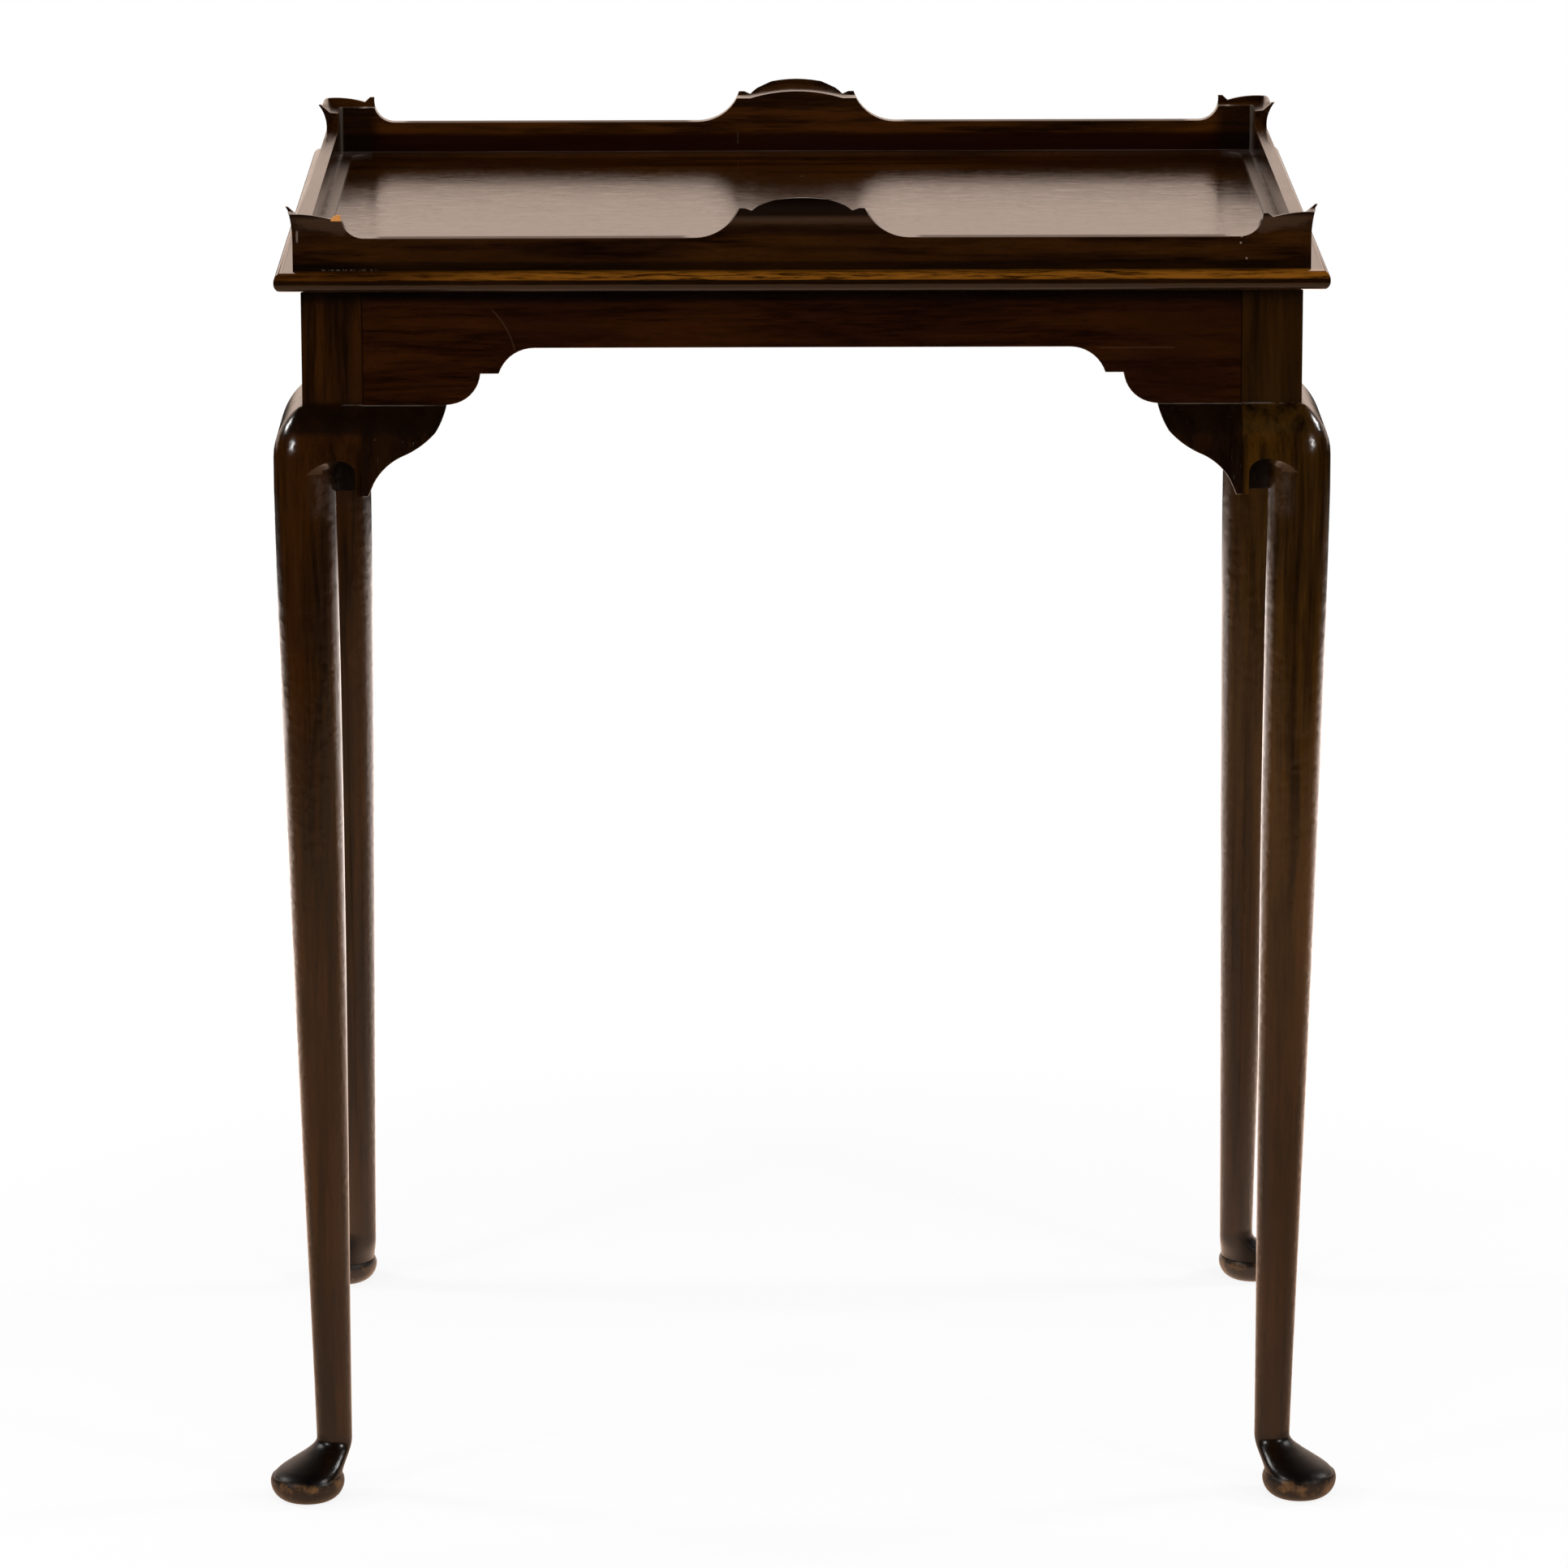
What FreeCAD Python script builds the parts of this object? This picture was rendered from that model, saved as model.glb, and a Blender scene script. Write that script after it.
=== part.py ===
import FreeCAD, Part
import math
import os
import Sketcher

# A tea table with a tray top: a board with a scalloped gallery, on a frame of four shaped
# aprons and four cabriole legs. Millimetres, +Z up, origin on the floor under the centre.

SIZES = {
    # Frame of posts and aprons
    "frame_width": 508, "frame_depth": 386, "frame_top": 639.5, "post_size": 30.5,
    "knee_top": 580, "apron_thickness": 16,
    "tenon_thickness": 6, "tenon_height": 40, "tenon_setback": 5, "tenon_wall": 3.5,
    "tenon_shoulder": 10, "glue_gap": 0.15,
    "ovolo_run": 17.2, "ovolo_rise": 15.9, "fillet_run": 9.4, "cove_run": 18, "cove_rise": 13.2,
    # Tray board
    "board_overhang": 13, "board_thickness": 10.5, "board_top_round": 4.6, "board_under_round": 5,
    "field_margin": 6.5, "field_depth": 1.2, "field_corner": 9,
    # Gallery rails
    "gallery_reach": 3.6, "gallery_thickness": 6.5, "gallery_height": 16.2,
    "rail_lean": 1.5, "rail_spare": 3.2, "mitre_spare": 10, "flare_run": 36,
    "ear_flare": 4.9, "ear_flare_start": 15.5, "corner_flare": 0.3,
    "crest_flare": 8.7, "crest_flare_start": 20,
    "ear_notch": 19.6, "ear_notch_height": 26.5, "ear_horn": 22.3, "ear_horn_width": 2.4,
    "ear_horn_height": 28.8, "ear_end_height": 27.6, "ear_crown": 62, "ear_sweep": 11.4,
    "ear_hollow": 24.6, "ear_brow": 23.7, "lip_thickness": 1.2, "lip_foot": 3.8,
    "crest_foot": 54, "crest_sweep": 24.5, "crest_horn": 31.6, "crest_horn_width": 2.6,
    "crest_horn_height": 31.8, "crest_notch": 25.4, "crest_notch_height": 30.4, "crest_height": 37.8,
    "crest_shoulder": 13, "crest_shoulder_height": 36.7, "crest_shoulder_bend": 24,
    "crest_hollow": 33.7, "horn_hollow": 29.9,
    "pin_across": 1.6, "pin_in_rail": 10, "pin_in_board": 6, "pin_inset": 40, "pin_gap": 0.05,
    # Legs
    "knee_height": 44.5, "knee_ledge": 0.7, "knee_round": 14.4, "knee_drop": 27, "knee_radius": 15.75,
    "scoop_reach": 31, "scoop_drop": 26,
    "ankle_height": 29, "ankle_radius": 9.2, "front_ankle_setback": 8.15, "back_ankle_setback": 4.8,
    "foot_reach": 5.5, "foot_radius": 19.3, "foot_widest": 9.6, "foot_contact": 13,
    "foot_rim": 0.8, "foot_rim_rise": 3, "instep_sink": 1, "instep_shy": 0.5,
    # Knee brackets
    "bracket_length": 42.9, "bracket_nose": 37.4, "bracket_nose_drop": 12.4,
    "bracket_chin": 20.4, "bracket_chin_drop": 24, "bracket_throat": 6.05,
    "bracket_throat_drop": 37.7, "bracket_tip": 3.2,
    "nose_bend": 37, "chin_bend": 49, "throat_bend": 31,
    # Blocks and screws inside the frame
    "corner_block_leg": 55, "corner_block_height": 22, "screw_inset": 24,
    "screw_across": 4, "screw_bite": 6, "screw_head_across": 8, "screw_head_height": 2.6,
    "screw_gap": 0.1, "rub_block_length": 40, "rub_block_size": 14, "rub_block_spacing": 130,
}

QUARTER_TURN = 90
SHANK_STATIONS = 7
INSTEP_STATIONS = 8
LEAST_CUT = 1.0

# How the shank swells upward, and how late the instep swings outward to the foot
SHANK_SWELL = 1.15
INSTEP_LAG = 1.1

# How the hollow in a gallery's crest slopes: down to its inner face, and up to its outer rim
CREST_FALL = 0.14
CREST_RISE = 0.55


# A length known both as a number and as an expression on the sheet
class Size:
    def __init__(self, value, text):
        self.value = value
        self.text = text

    def __add__(self, other):
        other = size(other)
        return Size(self.value + other.value, f"({self.text} + {other.text})")

    def __sub__(self, other):
        other = size(other)
        return Size(self.value - other.value, f"({self.text} - {other.text})")

    def __mul__(self, other):
        other = size(other)
        return Size(self.value * other.value, f"({self.text} * {other.text})")

    def __truediv__(self, other):
        other = size(other)
        return Size(self.value / other.value, f"({self.text} / {other.text})")

    def __neg__(self):
        return Size(-self.value, f"(0 - {self.text})")


def size(value):
    if isinstance(value, Size):
        return value
    return Size(float(value), f"{float(value):.6f}")


doc = FreeCAD.newDocument("tea_table")
sheet = doc.addObject("Spreadsheet::Sheet", "dims")
dim = {}
for row, (alias, value) in enumerate(SIZES.items(), start=1):
    sheet.set(f"A{row}", alias)
    sheet.set(f"B{row}", str(value))
    sheet.setAlias(f"B{row}", alias)
    dim[alias] = Size(float(value), f"dims.{alias}")
doc.recompute()


# Radius of the arc that leaves one line square to it, going over by run and along by rise
def tangent_radius(run, rise):
    return (run * run + rise * rise) / (run * 2)


def bind(thing, path, length):
    thing.setExpression(path, length.text)


def start_body(name, place=None, turn=0):
    body = doc.addObject("PartDesign::Body", name)
    body.Label = name
    body.Placement = FreeCAD.Placement(
        FreeCAD.Vector(0, 0, 0), FreeCAD.Rotation(FreeCAD.Vector(0, 0, 1), turn))
    for axis, length in zip("xyz", place or ()):
        bind(body, f"Placement.Base.{axis}", size(length))
    return body


def start_sketch(body, name, role, shift=None):
    sketch = body.newObject("Sketcher::SketchObject", f"{body.Name}_{name}")
    plane = [feature for feature in body.Origin.OriginFeatures if feature.Role == role][0]
    sketch.AttachmentSupport = [(plane, "")]
    sketch.MapMode = "FlatFace"
    for axis, length in zip("xyz", shift or ()):
        bind(sketch, f"AttachmentOffset.Base.{axis}", size(length))
    return sketch


def fix_point(sketch, curve, end, across, up):
    for kind, length in (("DistanceX", across), ("DistanceY", up)):
        index = sketch.addConstraint(Sketcher.Constraint(kind, -1, 1, curve, end, length.value))
        bind(sketch, f"Constraints[{index}]", length)


# Closed outline: each corner is (across, up) or (across, up, radius, side), where the run to the
# next corner is an arc of that radius with its centre on the left (1) or on the right (-1)
def draw_outline(sketch, corners):
    first = sketch.GeometryCount
    ends = []
    for number, corner in enumerate(corners):
        start = FreeCAD.Vector(size(corner[0]).value, size(corner[1]).value, 0)
        following = corners[(number + 1) % len(corners)]
        stop = FreeCAD.Vector(size(following[0]).value, size(following[1]).value, 0)
        if len(corner) == 2:
            sketch.addGeometry(Part.LineSegment(start, stop))
            ends.append((1, 2))
            continue
        radius = size(corner[2])
        run = stop - start
        left = FreeCAD.Vector(-run.y, run.x, 0).normalize()
        height = math.sqrt(max(radius.value ** 2 - run.Length ** 2 / 4, 0))
        centre = (start + stop) / 2 + left * height * corner[3]
        begin, finish = (start, stop) if corner[3] > 0 else (stop, start)
        circle = Part.Circle(centre, FreeCAD.Vector(0, 0, 1), radius.value)
        sketch.addGeometry(Part.ArcOfCircle(
            circle, math.atan2(begin.y - centre.y, begin.x - centre.x),
            math.atan2(finish.y - centre.y, finish.x - centre.x)))
        ends.append((1, 2) if corner[3] > 0 else (2, 1))
    for number, corner in enumerate(corners):
        curve = first + number
        following = (number + 1) % len(corners)
        sketch.addConstraint(Sketcher.Constraint(
            "Coincident", curve, ends[number][1], first + following, ends[following][0]))
        fix_point(sketch, curve, ends[number][0], size(corner[0]), size(corner[1]))
        if len(corner) > 2:
            index = sketch.addConstraint(Sketcher.Constraint("Radius", curve, size(corner[2]).value))
            bind(sketch, f"Constraints[{index}]", size(corner[2]))


def draw_circle(sketch, across, up, radius):
    across, up, radius = size(across), size(up), size(radius)
    centre = FreeCAD.Vector(across.value, up.value, 0)
    curve = sketch.addGeometry(Part.Circle(centre, FreeCAD.Vector(0, 0, 1), radius.value))
    fix_point(sketch, curve, 3, across, up)
    index = sketch.addConstraint(Sketcher.Constraint("Radius", curve, radius.value))
    bind(sketch, f"Constraints[{index}]", radius)


def rectangle(left, low, right, high):
    return [(left, low), (right, low), (right, high), (left, high)]


def pad(body, name, sketch, length, back=False):
    feature = body.newObject("PartDesign::Pad", f"{body.Name}_{name}")
    feature.Profile = sketch
    feature.Reversed = back
    bind(feature, "Length", size(length))
    return feature


def revolve(body, name, sketch):
    feature = body.newObject("PartDesign::Revolution", f"{body.Name}_{name}")
    feature.Profile = sketch
    feature.ReferenceAxis = (sketch, ["V_Axis"])
    feature.Angle = 360
    return feature


def loft(body, name, sketches, ruled, kind="PartDesign::AdditiveLoft"):
    feature = body.newObject(kind, f"{body.Name}_{name}")
    feature.Profile = sketches[0]
    feature.Sections = sketches[1:]
    feature.Ruled = ruled
    return feature


# Every cut is checked: one that points away from the wood leaves the volume as it was
def cut(body, name, sketch, length=None, back=False, both=False, way=None, kind="PartDesign::Pocket"):
    doc.recompute()
    before = body.Shape.Volume
    feature = body.newObject(kind, f"{body.Name}_{name}")
    feature.Profile = sketch
    if kind == "PartDesign::Groove":
        feature.ReferenceAxis = (sketch, ["V_Axis"])
        feature.Angle = 360
    elif length is None:
        feature.Type = "ThroughAll"
        feature.Midplane = both
        feature.Reversed = back
        if way:
            feature.UseCustomVector = True
            feature.Direction = FreeCAD.Vector(*way)
    else:
        feature.Reversed = back
        bind(feature, "Length", size(length))
    doc.recompute()
    if body.Shape.Volume > before - LEAST_CUT:
        raise RuntimeError(f"{feature.Name} cuts nothing")
    return feature


def round_edges(body, name, base, picked, radius):
    feature = body.newObject("PartDesign::Fillet", f"{body.Name}_{name}")
    feature.Base = (base, picked)
    bind(feature, "Radius", radius)
    return feature


half_width = dim["frame_width"] / 2
half_depth = dim["frame_depth"] / 2
tray_top = dim["frame_top"] + dim["board_thickness"]
knee_top = dim["knee_top"]
knee_bottom = knee_top - dim["knee_height"]
knee_face = dim["knee_ledge"] + dim["knee_round"]
knee_bend = tangent_radius(dim["knee_round"], dim["knee_drop"])
gallery_half_width = half_width + dim["gallery_reach"]
gallery_half_depth = half_depth + dim["gallery_reach"]
rail_blank_top = dim["crest_height"] + dim["rail_spare"]
# A tenon ends a wall short of the other tenon in its post
tenon_end = dim["tenon_setback"] + dim["tenon_thickness"] + dim["tenon_wall"]
tenon_length = dim["post_size"] - tenon_end

# Four sides of the frame: name, half its length, distance of its face from the centre, turn
SIDES = [
    ("front", half_width, half_depth, 0),
    ("right", half_depth, half_width, 1),
    ("back", half_width, half_depth, 2),
    ("left", half_depth, half_width, 3),
]
OUTWARD = [(0, -1), (1, 0), (0, 1), (-1, 0)]

# Four corners of the frame, each with the sides that meet there: the first runs along the
# corner's own x, the second along its own y
CORNERS = [
    ("front_left", -half_width, -half_depth, 0, "front", "left"),
    ("front_right", half_width, -half_depth, 1, "right", "front"),
    ("back_right", half_width, half_depth, 2, "back", "right"),
    ("back_left", -half_width, half_depth, 3, "left", "back"),
]


# Pin places along one gallery rail, from its middle
def pin_places(half_length, with_middle):
    reach = half_length - dim["pin_inset"]
    if with_middle:
        return [-reach, size(0), reach]
    return [-reach, -reach / 3, reach / 3, reach]


# Pin places of the whole gallery, on the board
def all_pin_places():
    seat = dim["gallery_reach"] - dim["gallery_thickness"] / 2
    places = []
    for number, (side, half_length, face, turn) in enumerate(SIDES):
        out_x, out_y = OUTWARD[turn]
        rail_half = half_length + dim["gallery_reach"]
        for along in pin_places(rail_half, number % 2 == 1):
            middle = face + seat
            places.append((middle * out_x - along * out_y, middle * out_y + along * out_x))
    return places


# Screw places, one in each corner block
def all_screw_places():
    inset = dim["apron_thickness"] + dim["screw_inset"]
    places = []
    for name, x, y, turn, first, second in CORNERS:
        inward_x = 1 if x.value < 0 else -1
        inward_y = 1 if y.value < 0 else -1
        places.append((x + inset * inward_x, y + inset * inward_y))
    return places


def make_board():
    body = start_body("tray_board", (0, 0, dim["frame_top"]))
    over_x = half_width + dim["board_overhang"]
    over_y = half_depth + dim["board_overhang"]
    blank = start_sketch(body, "blank", "XY_Plane")
    draw_outline(blank, rectangle(-over_x, -over_y, over_x, over_y))
    slab = pad(body, "slab", blank, dim["board_thickness"])
    doc.recompute()
    for name, level, radius in (("top_round", dim["board_thickness"].value, dim["board_top_round"]),
                                ("under_round", 0.0, dim["board_under_round"])):
        edges = [f"Edge{number}" for number, edge in enumerate(slab.Shape.Edges, start=1)
                 if abs(edge.BoundBox.ZMin - level) < 1e-4 and abs(edge.BoundBox.ZMax - level) < 1e-4
                 and edge.Length > over_x.value]
        slab = round_edges(body, name, slab, edges, radius)
        doc.recompute()
    inset = dim["gallery_thickness"] + dim["field_margin"]
    field_x = gallery_half_width - inset
    field_y = gallery_half_depth - inset
    bend = dim["field_corner"]
    field = start_sketch(body, "field", "XY_Plane", (0, 0, dim["board_thickness"]))
    draw_outline(field, [
        (bend - field_x, -field_y), (field_x - bend, -field_y, bend, 1), (field_x, bend - field_y),
        (field_x, field_y - bend, bend, 1), (field_x - bend, field_y), (bend - field_x, field_y, bend, 1),
        (-field_x, field_y - bend), (-field_x, bend - field_y, bend, 1)])
    cut(body, "field_cut", field, dim["field_depth"])
    pins = start_sketch(body, "pin_holes", "XY_Plane", (0, 0, dim["board_thickness"]))
    for x, y in all_pin_places():
        draw_circle(pins, x, y, dim["pin_across"] / 2 + dim["pin_gap"])
    cut(body, "pin_cut", pins, dim["pin_in_board"])
    screws = start_sketch(body, "screw_holes", "XY_Plane")
    for x, y in all_screw_places():
        draw_circle(screws, x, y, dim["screw_across"] / 2 + dim["screw_gap"])
    cut(body, "screw_cut", screws, dim["screw_bite"], back=True)
    return body


# Cross-section of a gallery rail blank: its outer face stands up, then curves outward to its rim
def rail_section(sketch, start, end, flare):
    thick = dim["gallery_thickness"]
    draw_outline(sketch, [
        (0, 0), (thick, 0), (thick, start), (thick - dim["rail_lean"], rail_blank_top),
        (-flare, rail_blank_top), (-flare, end, tangent_radius(flare, end - start), -1), (0, start)])


# Cross-section of the hollow in an ear, which leaves a thin lip along its outer side
def hollow_section(sketch, start, end, flare):
    lip = dim["lip_thickness"] - flare
    inner = dim["gallery_thickness"] + dim["rail_spare"]
    above = end + start
    draw_outline(sketch, [
        (inner, dim["ear_brow"]), (inner, above), (lip, above), (lip, end),
        (dim["lip_foot"] - flare / 2, dim["ear_hollow"])])


def rail_loft(body, name, draw_section, stations, kind="PartDesign::AdditiveLoft"):
    sections = []
    for number, (place, profile) in enumerate(stations):
        section = start_sketch(body, f"{name}_{number}", "YZ_Plane", (0, 0, place))
        draw_section(section, *profile)
        sections.append(section)
    loft(body, name, sections, ruled=True, kind=kind)


def make_rail(side, half_length, face, turn, crested):
    out_x, out_y = OUTWARD[turn]
    half = half_length + dim["gallery_reach"]
    stand = face + dim["gallery_reach"]
    body = start_body(f"gallery_{side}", (stand * out_x, stand * out_y, tray_top), turn * QUARTER_TURN)
    far = half + dim["mitre_spare"]
    near = far - dim["flare_run"]
    at_end = (dim["ear_flare_start"], dim["ear_horn_height"], dim["corner_flare"])
    at_ear = (dim["ear_flare_start"], dim["ear_horn_height"], dim["ear_flare"])
    at_crest = (dim["crest_flare_start"], dim["crest_height"], dim["crest_flare"])
    stations = [(-far, at_end), (-near, at_ear), (near, at_ear), (far, at_end)]
    if crested:
        stations[2:2] = [(-dim["crest_foot"], at_crest), (dim["crest_foot"], at_crest)]
    rail_loft(body, "blank", rail_section, stations)

    level = dim["gallery_height"]
    sky = dim["crest_height"] * 2
    beyond = half + dim["mitre_spare"] * 2
    rail_loft(body, "left_hollow", hollow_section, stations[:2], "PartDesign::SubtractiveLoft")
    rail_loft(body, "right_hollow", hollow_section, stations[-2:], "PartDesign::SubtractiveLoft")
    if crested:
        notch = dim["crest_notch"]
        foot = dim["crest_foot"]
        horn = dim["horn_hollow"]
        hollow = start_sketch(body, "hollow", "XZ_Plane")
        draw_outline(hollow, [
            (foot, horn), (notch, horn, tangent_radius(dim["crest_hollow"] - horn, notch), 1),
            (-notch, horn), (-foot, horn), (-foot, sky), (foot, sky)])
        cut(body, "crest_floor", hollow, way=(0, 1, -CREST_FALL))
        cut(body, "crest_slope", hollow, way=(0, -1, CREST_RISE))

    horn_out = dim["ear_horn"] + dim["ear_horn_width"]
    horn_foot = level + dim["ear_sweep"]
    ear = [
        (beyond, dim["ear_end_height"]),
        (far, dim["ear_end_height"], dim["ear_crown"], 1),
        (half - dim["ear_notch"], dim["ear_notch_height"]),
        (half - dim["ear_horn"], dim["ear_horn_height"]),
        (half - horn_out, dim["ear_horn_height"]),
        (half - horn_out, horn_foot, dim["ear_sweep"], -1),
    ]
    ear_foot = half - horn_out - dim["ear_sweep"]
    crown = tangent_radius(dim["crest_height"] - dim["crest_shoulder_height"], dim["crest_shoulder"])
    crest = [
        (dim["crest_foot"], level, dim["crest_sweep"], -1),
        (dim["crest_horn"], dim["crest_horn_height"]),
        (dim["crest_horn"] - dim["crest_horn_width"], dim["crest_horn_height"]),
        (dim["crest_notch"], dim["crest_notch_height"], dim["crest_shoulder_bend"], 1),
        (dim["crest_shoulder"], dim["crest_shoulder_height"], crown, 1),
    ]
    right = ear + [(ear_foot, level)] + (crest if crested else [])
    # The left half is the right half seen in a mirror, so an arc belongs to the corner after it
    left = []
    for number in range(len(right) - 1, -1, -1):
        before = right[number - 1] if number else ()
        left.append((-right[number][0], right[number][1]) + tuple(before[2:]))
    shape = start_sketch(body, "shape", "XZ_Plane")
    draw_outline(shape, right + left + [(-beyond, sky), (beyond, sky)])
    cut(body, "shape_cut", shape, both=True)

    mitres = start_sketch(body, "mitres", "XY_Plane")
    deep = dim["mitre_spare"] * 2
    for hand in (1, -1):
        corners = [(half * hand + deep * hand, -deep), (half * hand + deep * hand, deep),
                   (half * hand - deep * hand, deep)]
        draw_outline(mitres, corners)
    cut(body, "mitre_cut", mitres, both=True)

    pins = start_sketch(body, "pin_holes", "XY_Plane")
    for along in pin_places(half, not crested):
        draw_circle(pins, along, dim["gallery_thickness"] / 2, dim["pin_across"] / 2 + dim["pin_gap"])
    cut(body, "pin_cut", pins, dim["pin_in_rail"], back=True)
    return body


def make_apron(side, half_length, face, turn):
    out_x, out_y = OUTWARD[turn]
    body = start_body(f"apron_{side}", (face * out_x, face * out_y, 0), turn * QUARTER_TURN)
    half = half_length - dim["post_size"]
    ovolo = half - dim["bracket_length"]
    fillet = ovolo - dim["ovolo_run"]
    cove = fillet - dim["fillet_run"]
    crown = cove - dim["cove_run"]
    step = knee_top + dim["ovolo_rise"]
    arch = step + dim["cove_rise"]
    top = dim["frame_top"]
    round_out = tangent_radius(dim["ovolo_rise"], dim["ovolo_run"])
    round_in = tangent_radius(dim["cove_rise"], dim["cove_run"])
    shape = start_sketch(body, "shape", "XZ_Plane")
    draw_outline(shape, [
        (-half, top), (-half, knee_top), (-ovolo, knee_top, round_out, 1), (-fillet, step),
        (-cove, step, round_in, -1), (-crown, arch), (crown, arch, round_in, -1), (cove, step),
        (fillet, step, round_out, 1), (ovolo, knee_top), (half, knee_top), (half, top)])
    pad(body, "board", shape, dim["apron_thickness"], back=True)
    reach = half + tenon_length
    high = top - dim["tenon_shoulder"]
    tenons = start_sketch(body, "tenons", "XZ_Plane", (0, 0, -dim["tenon_setback"]))
    for hand in (1, -1):
        edges = sorted((half * hand, reach * hand), key=lambda edge: edge.value)
        draw_outline(tenons, rectangle(edges[0], high - dim["tenon_height"], edges[1], high))
    pad(body, "tenon", tenons, dim["tenon_thickness"], back=True)
    return body


# Profile of the knee: a small ledge under the post's face, then a shoulder that rounds over
# and falls straight to the knee's underside
def knee_profile():
    return [
        (0, knee_bottom), (-knee_face, knee_bottom),
        (-knee_face, knee_top - dim["knee_drop"], knee_bend, -1),
        (-dim["knee_ledge"], knee_top), (0, knee_top)]


def make_leg(corner, x, y, turn, setback):
    body = start_body(f"leg_{corner}", (x, y, 0), turn * QUARTER_TURN)
    post = dim["post_size"]
    radius = dim["knee_radius"]
    axis = radius - knee_face
    core = start_sketch(body, "core", "XY_Plane", (0, 0, knee_bottom))
    draw_outline(core, rectangle(0, 0, post, post))
    pad(body, "post", core, dim["frame_top"] - knee_bottom)
    front = start_sketch(body, "front_shoulder", "YZ_Plane", (0, 0, axis))
    draw_outline(front, knee_profile())
    pad(body, "front_knee", front, post - axis)
    flank = start_sketch(body, "side_shoulder", "XZ_Plane", (0, 0, -axis))
    draw_outline(flank, knee_profile())
    pad(body, "side_knee", flank, post - axis, back=True)

    # The scoop rings the top of the shank, so it shows as a small arch in each knee face; the
    # post's heart is whole behind it
    reach = dim["scoop_reach"]
    bow = (reach - radius) / 2
    crown = knee_top - dim["scoop_drop"]
    below = knee_bottom - dim["scoop_drop"]
    scoop = start_sketch(body, "scoop", "XZ_Plane", (axis, 0, -axis))
    draw_outline(scoop, [
        (radius / 2, below), (reach, below), (reach, crown - bow, bow, 1), (radius + bow, crown, bow, 1),
        (radius, crown - bow), (radius / 2, crown - bow)])
    cut(body, "scoop_cut", scoop, kind="PartDesign::Groove")
    heart = start_sketch(body, "heart", "XY_Plane", (0, 0, knee_bottom))
    draw_outline(heart, rectangle(0, 0, post, post))
    pad(body, "post_heart", heart, dim["knee_height"])

    corner_round = start_sketch(body, "corner_round", "XZ_Plane", (axis, 0, -axis))
    draw_outline(corner_round, [
        (0, knee_bottom), (radius, knee_bottom), (radius, knee_top - dim["knee_drop"], knee_bend, 1),
        (radius - dim["knee_round"], knee_top), (0, knee_top)])
    revolve(body, "knee_corner", corner_round)

    shank = []
    for number in range(SHANK_STATIONS):
        part = number / (SHANK_STATIONS - 1)
        swell = math.sin(math.pi / 2 * (1 - part)) ** SHANK_SWELL
        level = dim["ankle_height"] + (knee_bottom - dim["ankle_height"]) * (1 - part)
        ring = start_sketch(body, f"shank_{number}", "XY_Plane", (0, 0, level))
        centre = axis + (setback - axis) * part
        draw_circle(ring, centre, centre, dim["ankle_radius"] + (radius - dim["ankle_radius"]) * swell)
        shank.append(ring)
    loft(body, "shank", shank, ruled=False)

    # The instep swings out to the foot in a double curve, and ends inside the pad
    brow = dim["foot_radius"] - dim["foot_rim"]
    brow_level = dim["foot_widest"] + dim["foot_rim_rise"]
    toe = brow - dim["instep_shy"]
    lowest = brow_level - dim["instep_sink"]
    instep = []
    for number in range(INSTEP_STATIONS):
        part = number / (INSTEP_STATIONS - 1)
        level = dim["ankle_height"] + (lowest - dim["ankle_height"]) * part
        ring = start_sketch(body, f"instep_{number}", "XY_Plane", (0, 0, level))
        swing = (1 - math.cos(math.pi * part ** INSTEP_LAG)) / 2
        centre = setback - (setback + dim["foot_reach"]) * swing
        draw_circle(ring, centre, centre, dim["ankle_radius"] + (toe - dim["ankle_radius"]) * swing)
        instep.append(ring)
    loft(body, "instep", instep, ruled=False)

    # The pad of the foot: a narrow sole, a full side and a crisp upper rim
    foot = start_sketch(body, "foot", "XZ_Plane", (-dim["foot_reach"], 0, dim["foot_reach"]))
    under = tangent_radius(dim["foot_radius"] - dim["foot_contact"], dim["foot_widest"])
    over = tangent_radius(dim["foot_rim"], dim["foot_rim_rise"])
    draw_outline(foot, [
        (0, 0), (dim["foot_contact"], 0, under, 1), (dim["foot_radius"], dim["foot_widest"], over, 1),
        (brow, brow_level), (0, brow_level)])
    revolve(body, "pad_foot", foot)

    # Mortises for the two tenons that meet in this post
    gap = dim["glue_gap"]
    top = dim["frame_top"] - dim["tenon_shoulder"] + gap
    low = dim["frame_top"] - dim["tenon_shoulder"] - dim["tenon_height"] - gap
    cheek = dim["tenon_setback"] - gap
    width = dim["tenon_thickness"] + gap * 2
    deep = tenon_length + gap
    first = start_sketch(body, "first_mortise", "YZ_Plane", (0, 0, post))
    draw_outline(first, rectangle(cheek, low, cheek + width, top))
    cut(body, "first_mortise_cut", first, deep)
    second = start_sketch(body, "second_mortise", "XZ_Plane", (0, 0, -post))
    draw_outline(second, rectangle(cheek, low, cheek + width, top))
    cut(body, "second_mortise_cut", second, deep, back=True)
    return body


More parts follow.
